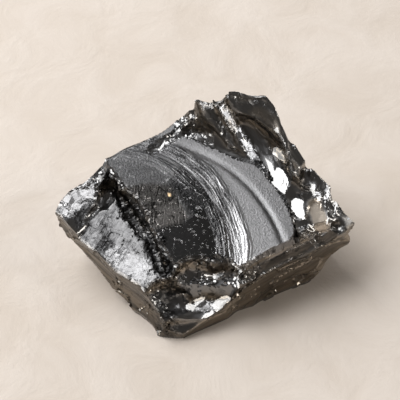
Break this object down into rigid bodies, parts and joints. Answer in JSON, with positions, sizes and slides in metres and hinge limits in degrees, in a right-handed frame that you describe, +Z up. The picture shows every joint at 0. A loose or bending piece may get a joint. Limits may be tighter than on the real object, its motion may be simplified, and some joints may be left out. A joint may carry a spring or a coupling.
{
  "type": "shungite lump",
  "caption": "Lump of black glassy shungite with a domed rippled plate on top, a ridge along one side, sharp broken walls and a flat facet to rest on.",
  "frame": {"origin": "on the flat facet that the stone rests on, below the middle of the stone", "axes": "+Z up from the facet that it rests on, +X along the stone's longest way, +Y towards the high ridge"},
  "size_m": [0.0589, 0.0429, 0.029],
  "materials": {
    "shungite": "black glassy carbon with a semi-metallic lustre, mirror-like on fresh scars and grey and finely grained where the break was rough"
  },
  "bodies": {
    "root": {"shungite": "shungite"}
  },
  "joints": []
}
